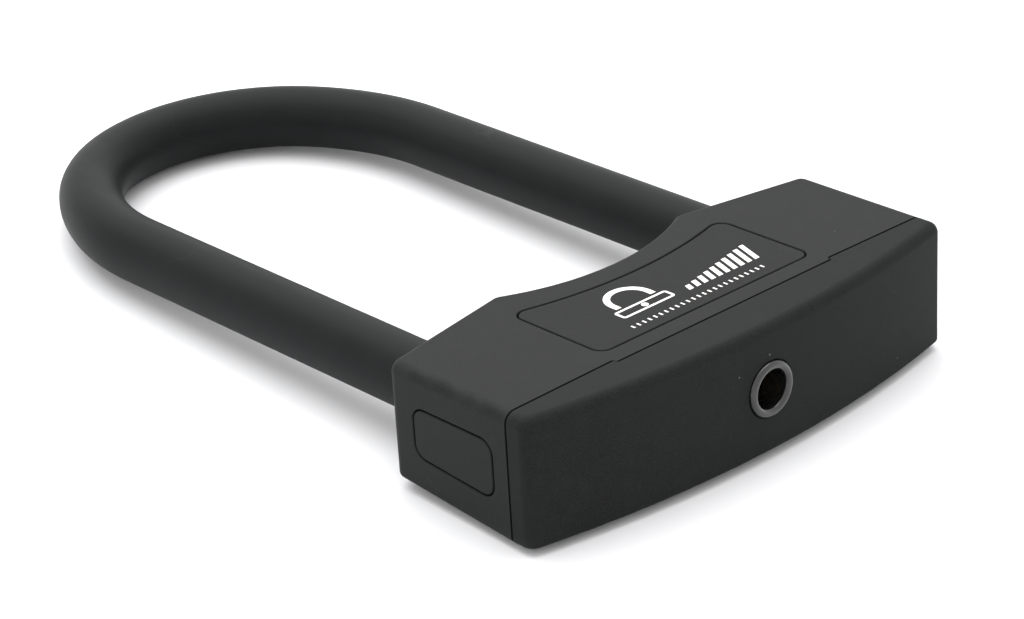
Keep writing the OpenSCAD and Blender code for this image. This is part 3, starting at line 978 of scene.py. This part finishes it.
def screw_row_tree(inputs):
    """A row of screws with hexagon sockets. Each lies along Z with its head up, is turned the
    same way, and its head may be a cone for a countersink."""
    tree, graph, given = new_tree("Screw row", inputs)

    def cone(sides, top, bottom, tall, lift):
        made = graph.add("GeometryNodeMeshCone", {
            "Vertices": sides, "Radius Top": top, "Radius Bottom": bottom, "Depth": tall})
        shift = graph.add("ShaderNodeCombineXYZ", {2: lift})
        return graph.add("GeometryNodeTransform", {"Geometry": made, "Translation": shift})

    head_r, head_t = given["Head radius"], given["Head height"]
    under_r, shank_r = given["Under head radius"], given["Shank radius"]
    rim = head_t * 0.18
    head = cone(48, head_r, under_r, head_t - rim, 0)
    crown = cone(48, head_r - rim, head_r, rim, head_t - rim)
    shank_l = given["Shank length"]
    tip = shank_r * 0.5
    shank = cone(32, shank_r, shank_r, shank_l - tip, tip - shank_l)
    point = cone(32, shank_r, shank_r * 0.6, tip, -1 * shank_l)
    socket_t = head_t * 0.6
    socket = cone(6, given["Socket radius"], given["Socket radius"], head_t, head_t - socket_t)
    whole = graph.add("GeometryNodeMeshBoolean", operation="UNION", solver="EXACT")
    for part in (head, crown, shank, point):
        tree.links.new(part.socket, whole.socket.node.inputs["Mesh 2"])
    screw = graph.add("GeometryNodeMeshBoolean", {"Mesh 1": whole, "Mesh 2": socket},
                      operation="DIFFERENCE", solver="EXACT")
    line = graph.add("GeometryNodeMeshLine", {
        "Count": given["Count"], "Start Location": given["Start"], "Offset": given["Step"]})
    row = graph.add("GeometryNodeInstanceOnPoints", {
        "Points": line, "Instance": screw,
        "Rotation": graph.add("FunctionNodeEulerToRotation", {"Euler": given["Turn"]})})
    close_tree(graph, row, given["Material"])
    return tree


def material_input(name):
    """The input of a tree for a slot's material."""
    return {"Material": lock_materials()[name]}


# ---------------------------------------------------------------- pieces


def on_top(point, rise):
    """A place on the crossbar's top, rise above it."""
    return Vector((point.x, point.y, HEIGHT + rise))


def on_end(side):
    """A place on the right (1) or left (-1) end, from Y and Z and a height over it."""
    return lambda point, rise: Vector((side * (HALF_W + rise), point.x, point.y))


def along_leg(side):
    """A place around a leg, whose height counts from the sloping back of the shell."""
    return lambda point, rise: Vector(
        (side * (LEG_X + point.x), back_line(LEG_X + point.x) + rise, point.y)
    )


class ULOCK_OT_shell(bpy.types.Operator):
    """Makes the moulded shell of the crossbar, with its leg holes and recesses"""

    bl_idname = "u_lock.make_shell"
    bl_label = "Shell"

    def execute(self, context):
        bar = context.scene.u_lock_crossbar
        inlays = context.scene.u_lock_inlays
        screws = context.scene.u_lock_screws
        blend = 5 * MM

        def edge_at(point):
            share = min(max((abs(point.x) - (HALF_W - blend)) / blend, 0), 1)
            return bar.back_edge + (bar.end_edge - bar.back_edge) * share**0.5

        shell = rounded_block(
            "crossbar_shell", shell_outline(bar), edge_at, bar.under_edge, bar.under_rise)
        bevel(shell, bar.joint_rim, 50)
        label_t = LABEL_HIGH.z - LABEL_LOW.z
        plug_t = PLUG_HIGH.x - PLUG_LOW.x
        room = HALF_W - END_WALL
        cutters = [
            box_cutter(room, COVER_LOW.y, SEAL_LOW.y, WALL, HEIGHT - WALL),
            pocket(label_outline(inlays), on_top, label_t, inlays.gap, inlays.rim),
        ]
        head_r = (SHELL_SCREWS_HIGH.z - SHELL_SCREWS_LOW.z) / 2
        for side in (1, -1):
            cutters.append(
                pocket(circle(LEG_HOLE_R), along_leg(side), 10 * MM, 0, bar.hole_rim))
            cutters.append(
                pocket(plug_outline(inlays), on_end(side), plug_t, inlays.gap, inlays.rim))
            for y in (SHELL_SCREWS_LOW.y + head_r, SHELL_SCREWS_HIGH.y - head_r):
                wide = head_r - screws.shank
                sink = [(0, -5 * MM), (0, -END_WALL), (wide, -plug_t), (wide, -plug_t / 2)]
                hole = [(p + Vector((y, 0)), way) for p, way in circle(screws.shank + 0.2 * MM, 32)]
                cutters.append(stacked("cutter", hole, on_end(side), sink))
        cut(shell, cutters)
        hand_over(shell, "lock_body", "shell_plastic", "main_shell")
        return {"FINISHED"}


class ULOCK_OT_joint_lip(bpy.types.Operator):
    """Makes the lip inside the joint, which the cover slides over"""

    bl_idname = "u_lock.make_joint_lip"
    bl_label = "Joint lip"

    def execute(self, context):
        bar = context.scene.u_lock_crossbar
        ends = (-bar.joint - bar.lip_w / 2, -bar.joint + bar.lip_w / 2)
        outer, inner = bar.lip_in, bar.lip_in + bar.lip_t
        lip = box_cutter(HALF_W - outer, *ends, outer, HEIGHT - outer)
        lip.name = "joint_lip"
        past = (ends[0] - MM, ends[1] + MM)
        cut(lip, [box_cutter(HALF_W - inner, *past, inner, HEIGHT - inner)])
        hand_over(lip, "lock_body", "shell_plastic")
        return {"FINISHED"}


class ULOCK_OT_cover(bpy.types.Operator):
    """Makes the bowed cover on the key side"""

    bl_idname = "u_lock.make_cover"
    bl_label = "Key side cover"

    def execute(self, context):
        bar = context.scene.u_lock_crossbar
        inlays = context.scene.u_lock_inlays
        cover = rounded_block(
            "key_side_shell", cover_outline(bar), lambda point: bar.face_edge, bar.under_edge)
        bevel(cover, bar.joint_rim, 50)
        wall = 3 * MM
        boss_r = 9 * MM
        inner = mirrored(face_curve(bar, wall, 1 * MM) + [
            (Vector((HALF_W - wall, 0)), Vector((1, 0))), (Vector((0, 0)), Vector((0, 1)))])
        hollow = skin("cutter", [
            [Vector((p.x, p.y, z)) for p, _ in inner] for z in (wall, HEIGHT - wall)])
        boss = stacked("cutter", circle(boss_r), lambda p, rise: Vector((p.x, rise, p.y)),
                       [(0, FACE_Y - wall), (0, RING_HIGH.y)])
        cut(hollow, [boss])
        ring_hole = pocket(
            circle(RING_R + 0.05 * MM), lambda p, rise: Vector((p.x, face_y(bar, p.x) - rise, p.y)),
            10 * MM, 0, inlays.rim)
        cut(cover, [hollow, ring_hole])
        hand_over(cover, "lock_body", "cover_plastic", "key_side_cover")
        return {"FINISHED"}


class ULOCK_OT_label(bpy.types.Operator):
    """Makes the label plate and its printed marks: a lock sign, a level scale and a rule"""

    bl_idname = "u_lock.make_label"
    bl_label = "Label plate"

    def execute(self, context):
        inlays = context.scene.u_lock_inlays
        materials = lock_materials()
        label_t = LABEL_HIGH.z - LABEL_LOW.z
        sunk = inlays.print_t + 0.01 * MM
        outline = label_outline(inlays)
        plate = panel("label_inlay", outline, on_top, label_t - sunk, -sunk, inlays.rim)
        smooth(plate)
        hand_over(plate, "lock_body", "label_plastic", "label_plate")
        sign = self.lock_sign(Vector((-9.2 * MM, 5.6 * MM)), HEIGHT - sunk, inlays.print_t)
        hand_over(sign, "lock_body", "label_plastic", material=materials["label_ink"])
        self.printed_rows(inlays, HEIGHT - sunk, materials)
        return {"FINISHED"}

    def lock_sign(self, middle, low, thick):
        """A sign of a U lock: an arch over a bar, with a keyhole in the bar."""
        bm = bmesh.new()
        across, line, foot, round_r = 5.6 * MM, 0.62 * MM, -1.6 * MM, 0.8 * MM
        bar_at = middle + Vector((0, -4.1 * MM))
        crossbar = rounded_rectangle(bar_at, 14.6 * MM, 3.4 * MM, round_r)
        arch = [
            [p for p, _ in arc(middle, r, 0, 180, 32)] + [
                middle + Vector((-r, foot)), middle + Vector((r, foot))]
            for r in (across, across - 2.4 * line)
        ]
        band = [p for p, _ in crossbar], [p - way * line for p, way in crossbar]
        dot = [p for p, _ in arc(bar_at, round_r, 0, 350, 35)]
        for outside, inside, shut in ((*arch, False), (*band, True)):
            self.ribbon(bm, outside, inside, low, thick, shut)
        self.disc(bm, dot, low, thick)
        bmesh.ops.recalc_face_normals(bm, faces=bm.faces)
        return as_object("label_lock_sign", bm)

    def ribbon(self, bm, outside, inside, low, thick, shut):
        """A flat printed band between two outlines, open at its last side unless shut."""
        count = len(outside)
        rows = [[bm.verts.new((p.x, p.y, z)) for p in line] for line, z in (
            (outside, low), (outside, low + thick), (inside, low + thick), (inside, low))]
        last = count if shut else count - 1
        turn = 0 if shut else 1
        for a, b in zip(rows, rows[1:] + rows[:1]):
            for i in range(last):
                j = (i - turn) % count
                bm.faces.new((a[j], a[(j + 1) % count], b[(j + 1) % count], b[j]))
        if not shut:
            for end in (count - 2, count - 1):
                bm.faces.new([row[end] for row in rows])

    def disc(self, bm, outline, low, thick):
        """A flat printed patch."""
        rows = [[bm.verts.new((p.x, p.y, z)) for p in outline] for z in (low, low + thick)]
        for row in rows:
            bm.faces.new(row)
        for i in range(len(outline)):
            bm.faces.new((rows[0][i - 1], rows[0][i], rows[1][i], rows[1][i - 1]))

    def printed_rows(self, inlays, low, materials):
        """The rising level bars and the ticked rule below them."""
        shared = {"Thickness": inlays.print_t, "Material": materials["label_ink"]}
        bars = {
            "Count": inlays.bars, "Start": (1.5 * MM, -0.6 * MM, low), "Spacing": 2.15 * MM,
            "Width": 1.25 * MM, "First height": 2.0 * MM, "Growth": 0.55 * MM, "Slant": 0.32,
        }
        ticks = {
            "Count": inlays.ticks, "Start": (-18.2 * MM, -4.6 * MM, low), "Spacing": 1.55 * MM,
            "Width": 0.42 * MM, "First height": 1.15 * MM, "Growth": 0.0, "Slant": 0.0,
        }
        tree = printed_row_tree({**bars, **shared})
        for name, sizes in (("label_level_bars", bars), ("label_ticks", ticks)):
            row = grown(name, tree, {**sizes, **shared})
            hand_over(row, "lock_body", "label_plastic", material=materials["label_ink"])


class ULOCK_OT_end_plugs(bpy.types.Operator):
    """Makes the flush plugs in both ends of the crossbar"""

    bl_idname = "u_lock.make_end_plugs"
    bl_label = "End plugs"

    def execute(self, context):
        inlays = context.scene.u_lock_inlays
        thick = PLUG_HIGH.x - PLUG_LOW.x
        for side, name in ((1, "right"), (-1, "left")):
            outline = plug_outline(inlays)
            plug = panel(f"end_inlay_{name}", outline, on_end(side), thick, 0, inlays.rim)
            smooth(plug)
            hand_over(plug, "lock_body", "plug_plastic", f"end_plug_{name}")
        return {"FINISHED"}


class ULOCK_OT_keyhole_ring(bpy.types.Operator):
    """Makes the glossy ring with a round lip that lines the keyhole"""

    bl_idname = "u_lock.make_keyhole_ring"
    bl_label = "Keyhole ring"

    def execute(self, context):
        hole = context.scene.u_lock_inlays.keyhole
        lip = (RING_R - hole) / 2
        lip_y = RING_LOW.y + lip
        profile = [(RING_R, RING_HIGH.y), (RING_R, RING_HIGH.y + (lip_y - RING_HIGH.y) / 2)]
        for turn in range(0, 181, 12):
            angle = math.radians(turn)
            profile.append((hole + lip + lip * math.cos(angle), lip_y - lip * math.sin(angle)))
        profile += [(hole, RING_HIGH.y + (lip_y - RING_HIGH.y) / 2), (hole, RING_HIGH.y)]
        rings = [
            [Vector((p.x, y, p.y)) for p, _ in circle(radius, 96)] for radius, y in profile
        ]
        ring = skin("keyhole_lip", rings, closed=True)
        smooth(ring)
        hand_over(ring, "lock_body", "ring_gloss", "keyhole_ring")
        return {"FINISHED"}


class ULOCK_OT_sleeve(bpy.types.Operator):
    """Makes the rubbery sleeve on the shackle"""

    bl_idname = "u_lock.make_sleeve"
    bl_label = "Shackle sleeve"

    def execute(self, context):
        shackle = context.scene.u_lock_shackle
        side_centre = shackle.side_bend - LEG_X
        inputs = {
            "Steps along": shackle.along,
            "Steps around": shackle.around,
            "Start": SLEEVE_LOW.y,
            "Straight end": shackle.straight,
            "Side bend": shackle.side_bend,
            "Side angle": shackle.side_angle,
            "Side centre": side_centre,
            "Top bend": shackle.side_bend - side_centre / math.cos(shackle.side_angle),
            "Top centre": shackle.straight + side_centre * math.tan(shackle.side_angle),
            "Middle height": MID_Z,
            "Outer radius": SLEEVE_R,
            "Inner radius": ROD_R + 0.03 * MM,
            "Lip": shackle.lip,
            "Ripple": shackle.ripple,
            **material_input("sleeve_rubber"),
        }
        sleeve = grown("shackle_coat", sleeve_tree(inputs), inputs)
        outward(sleeve)
        smooth(sleeve)
        hand_over(sleeve, "shackle", "sleeve_rubber", "shackle_sleeve")
        return {"FINISHED"}


def outward(piece):
    """Turns the faces of a closed mesh outwards."""
    bm = bmesh.new()
    bm.from_mesh(piece.data)
    if any(edge.is_boundary for edge in bm.edges):
        raise RuntimeError(f"{piece.name} isn't closed")
    bmesh.ops.recalc_face_normals(bm, faces=bm.faces)
    bm.to_mesh(piece.data)
    bm.free()


class ULOCK_OT_screws(bpy.types.Operator):
    """Makes the screws of the front plate and the end walls"""

    bl_idname = "u_lock.make_screws"
    bl_label = "Screws"

    def execute(self, context):
        screws = context.scene.u_lock_screws
        pan_r = (PLATE_SCREWS_HIGH.z - PLATE_SCREWS_LOW.z) / 2
        sunk_r = (SHELL_SCREWS_HIGH.z - SHELL_SCREWS_LOW.z) / 2
        seat_y = PLATE_SCREWS_LOW.y + screws.pan_head
        sunk_t = END_WALL - (PLUG_HIGH.x - PLUG_LOW.x) - 0.15 * MM
        sunk_y = SHELL_SCREWS_LOW.y + sunk_r
        pan = {
            "Head radius": pan_r, "Under head radius": pan_r, "Head height": screws.pan_head,
            "Shank length": PLATE_SCREWS_HIGH.y - seat_y,
            "Step": (PLATE_SCREWS_HIGH.x - pan_r - screws.inner_place, 0.0, 0.0),
            "Turn": (math.pi / 2, 0.0, 0.0),
        }
        sunk = {
            "Head radius": sunk_r, "Under head radius": screws.shank, "Head height": sunk_t,
            "Shank length": 6.5 * MM,
            "Step": (0.0, SHELL_SCREWS_HIGH.y - sunk_r - sunk_y, 0.0),
            "Turn": (0.0, math.pi / 2, 0.0),
        }
        shared = {"Count": 2, "Shank radius": screws.shank, "Socket radius": screws.socket,
                  **material_input("fastener_steel")}
        rows = {
            "plate_screws_right": (pan, {"Start": (screws.inner_place, seat_y, MID_Z)}),
            "plate_screws_left": (pan, {"Start": (pan_r - PLATE_SCREWS_HIGH.x, seat_y, MID_Z)}),
            "shell_screws_right": (sunk, {"Start": (SHELL_SCREWS_HIGH.x - sunk_t, sunk_y, MID_Z)}),
            "shell_screws_left": (sunk, {
                "Start": (sunk_t - SHELL_SCREWS_HIGH.x, sunk_y, MID_Z),
                "Turn": (0.0, -math.pi / 2, 0.0)}),
        }
        tree = screw_row_tree({**pan, **shared, "Start": (0.0, 0.0, 0.0)})
        for name, (kind, place) in rows.items():
            row = grown(name, tree, {**kind, **shared, **place})
            smooth(row)
            hand_over(row, "lock_body", "fastener_steel", name.rsplit("_", 1)[0])
        return {"FINISHED"}


class ULOCK_OT_inner_finishes(bpy.types.Operator):
    """Gives the parts of the lock that stay as they are their metal and rubber finishes"""

    bl_idname = "u_lock.finish_inner_parts"
    bl_label = "Inner parts"

    PARTS = {
        "case_steel": ("steel_case", "front_plate", "channel_plug_left", "channel_plug_right"),
        "hard_steel": ("bolt_left", "bolt_right", "bolt_pin_left", "bolt_pin_right", "scroll_cam",
                       "barrel_pins", "anti_drill_disc", "sidebar", "plug_circlip", "disc_spacers"),
        "cylinder_brass": ("cylinder_barrel", "plug_core", "lock_discs"),
        "rod_steel": ("shackle_rod",),
        "seal_rubber": ("leg_seal_left", "leg_seal_right"),
    }

    def execute(self, context):
        materials = lock_materials()
        finished = set()
        for slot, names in self.PARTS.items():
            for name in names:
                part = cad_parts[name]
                for place in part.material_slots:
                    place.material = materials[slot]
                finished.add(name)
        shown = {name for name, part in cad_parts.items() if not part.hide_render}
        if shown != finished:
            raise RuntimeError(f"without a finish, or finished but hidden: {shown ^ finished}")
        return {"FINISHED"}


class ULOCK_OT_studio(bpy.types.Operator):
    """Makes the white floor that the lock rests on, the soft lights and the camera"""

    bl_idname = "u_lock.make_studio"
    bl_label = "Studio"

    # where each soft light stands from the middle of the lock, and its width
    LIGHTS = {
        "roof": ((0.1, 0.25, 1.15), 1.5),
        "back": ((0.75, 0.95, 0.65), 0.9),
        "side": ((-1.1, 0.15, 0.6), 0.8),
    }

    def execute(self, context):
        studio = context.scene.u_lock_studio
        self.floor(studio)
        self.sky(context.scene, studio.sky)
        middle = Vector((0, 80 * MM, 0))
        for name, (offset, width) in self.LIGHTS.items():
            strength = getattr(studio, f"{name}_power")
            self.soft_light(f"{name}_light", middle + Vector(offset), middle, width, strength)
        self.camera(context.scene, studio)
        context.scene.view_settings.view_transform = "Standard"
        return {"FINISHED"}

    def floor(self, studio):
        """A wide floor, tilted so that the flat lock rests on its heel and its toe."""
        tilt = studio.rest_height / (studio.rest_front - studio.rest_back)
        reach = 3.0
        steps = 24
        bm = bmesh.new()
        rows = []
        for i in range(steps + 1):
            y = reach * (2 * i / steps - 1)
            z = tilt * (y - studio.rest_back)
            rows.append([
                bm.verts.new((reach * (2 * j / steps - 1), y, z)) for j in range(steps + 1)])
        for low, high in zip(rows, rows[1:]):
            for j in range(steps):
                bm.faces.new((low[j], low[j + 1], high[j + 1], high[j]))
        floor = as_object("studio_floor", bm)
        floor.data.materials.append(finish("studio_floor", studio_floor(tuple(studio.floor))))

    def sky(self, scene, strength):
        """Even white surroundings."""
        world = bpy.data.worlds.new("white_surroundings")
        world.use_nodes = True
        world.node_tree.nodes["Background"].inputs["Color"].default_value = (1, 1, 1, 1)
        world.node_tree.nodes["Background"].inputs["Strength"].default_value = strength
        scene.world = world

    def soft_light(self, name, place, aim, width, power):
        """A square soft light that faces the lock."""
        light = bpy.data.lights.new(name, "AREA")
        light.energy = power
        light.size = width
        holder = bpy.data.objects.new(name, light)
        holder.location = place
        holder.rotation_euler = (aim - place).to_track_quat("-Z", "Y").to_euler()
        bpy.context.scene.collection.objects.link(holder)

    def camera(self, scene, studio):
        """A long lens from the front left, looking down at the lock."""
        level = Vector((math.sin(studio.azimuth), math.cos(studio.azimuth), 0))
        ahead = level * math.cos(studio.elevation) - Vector((0, 0, math.sin(studio.elevation)))
        lens = bpy.data.cameras.new("view_from_key_side")
        lens.lens = studio.lens
        lens.sensor_width = 36
        lens.clip_start = 0.01
        camera = bpy.data.objects.new("view_from_key_side", lens)
        camera.location = Vector(studio.target) - ahead * studio.distance
        camera.rotation_mode = "QUATERNION"
        roll = Quaternion((0, 0, 1), studio.roll)
        camera.rotation_quaternion = ahead.to_track_quat("-Z", "Y") @ roll
        scene.collection.objects.link(camera)
        scene.camera = camera


class ULOCK_PT_build(bpy.types.Panel):
    """Lists the lock's pieces in the order that they are made"""

    bl_label = "U Lock"
    bl_idname = "ULOCK_PT_build"
    bl_space_type = "VIEW_3D"
    bl_region_type = "UI"
    bl_category = "U Lock"

    def draw(self, context):
        for name, group in GROUPS.items():
            box = self.layout.box()
            box.label(text=group.__doc__)
            for field in group.__annotations__:
                box.prop(getattr(context.scene, name), field)
        for operator in OPERATORS:
            self.layout.operator(operator.bl_idname)


OPERATORS = (
    ULOCK_OT_shell,
    ULOCK_OT_joint_lip,
    ULOCK_OT_cover,
    ULOCK_OT_label,
    ULOCK_OT_end_plugs,
    ULOCK_OT_keyhole_ring,
    ULOCK_OT_sleeve,
    ULOCK_OT_screws,
    ULOCK_OT_inner_finishes,
    ULOCK_OT_studio,
)
CLASSES = (*GROUPS.values(), *OPERATORS, ULOCK_PT_build)


def register():
    for kind in CLASSES:
        bpy.utils.register_class(kind)
    for name, group in GROUPS.items():
        setattr(bpy.types.Scene, name, PointerProperty(type=group))


def unregister():
    for name in GROUPS:
        delattr(bpy.types.Scene, name)
    for kind in reversed(CLASSES):
        bpy.utils.unregister_class(kind)


def main():
    """Makes every piece in order."""
    register()
    for operator in OPERATORS:
        section, name = operator.bl_idname.split(".")
        getattr(getattr(bpy.ops, section), name)()


if __name__ == "__main__":
    main()
